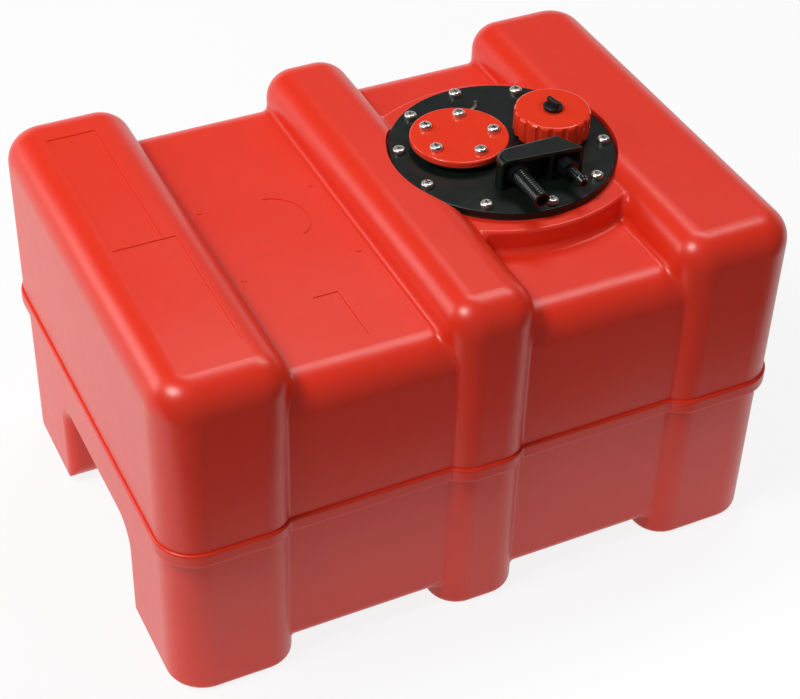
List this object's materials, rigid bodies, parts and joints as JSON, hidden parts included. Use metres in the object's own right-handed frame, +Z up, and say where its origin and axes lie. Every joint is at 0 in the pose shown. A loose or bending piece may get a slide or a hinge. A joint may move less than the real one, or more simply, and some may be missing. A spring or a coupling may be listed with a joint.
{
  "type": "outboard fuel tank",
  "caption": "Portable ribbed plastic fuel tank with strap channels, a bolted top flange, screw filler cap with vent screw, blanking cover and hose tails.",
  "frame": {"origin": "on the floor under the middle of the tank", "axes": "+Z up, +X along the tank's long side with the flange on the +X half, -Y to the front, where the hose tails point"},
  "size_m": [0.5042, 0.3622, 0.3182],
  "materials": {
    "tank_polyethylene": "satin moulded",
    "red_plastic": "semi-gloss",
    "black_plastic": "satin",
    "rubber_seal": "matt",
    "stainless": "bright",
    "brass": "machined"
  },
  "bodies": {
    "tank": {"tank_top_half": "tank_polyethylene", "tank_bottom_half": "tank_polyethylene", "sender_cover": "red_plastic", "flange_plate": "black_plastic", "vent_hose_tail": "black_plastic", "fuel_hose_tail": "black_plastic", "pickup_tube": "black_plastic", "pickup_strainer": "black_plastic", "flange_gasket": "rubber_seal", "sender_gasket": "rubber_seal", "vent_tail_seal": "rubber_seal", "fuel_tail_seal": "rubber_seal", "earth_washer": "stainless", "flange_screws": "stainless", "sender_cover_screws": "stainless", "earth_screw": "stainless", "earth_terminal": "stainless", "flange_inserts": "brass", "sender_inserts": "brass", "vent_gauze": "brass"},
    "cap_seal_ring": {"cap_seal": "rubber_seal"},
    "cap": {"filler_cap": "red_plastic"},
    "vent_seal_ring": {"vent_screw_seal": "rubber_seal"},
    "vent_knob": {"vent_screw": "black_plastic"}
  },
  "joints": [
    {"name": "cap_lift", "type": "slide", "parent": "tank", "child": "cap_seal_ring", "axis": [0, 0, 1], "range_m": [0, 0.006]},
    {"name": "cap_turn", "type": "hinge", "parent": "cap_seal_ring", "child": "cap", "pos_m": [0.137, 0.0025, 0.3], "axis": [0, 0, 1], "range_deg": [0, 541]},
    {"name": "vent_lift", "type": "slide", "parent": "cap", "child": "vent_seal_ring", "axis": [0, 0, 1], "range_m": [0, 0.0015]},
    {"name": "vent_turn", "type": "hinge", "parent": "vent_seal_ring", "child": "vent_knob", "pos_m": [0.137, 0.0025, 0.312], "axis": [0, 0, 1], "range_deg": [0, 541]}
  ],
  "couplings": [
    {"joint": "cap_turn", "follows": "cap_lift", "rad_per_m": 1570.8},
    {"joint": "vent_turn", "follows": "vent_lift", "rad_per_m": 6283.2}
  ]
}
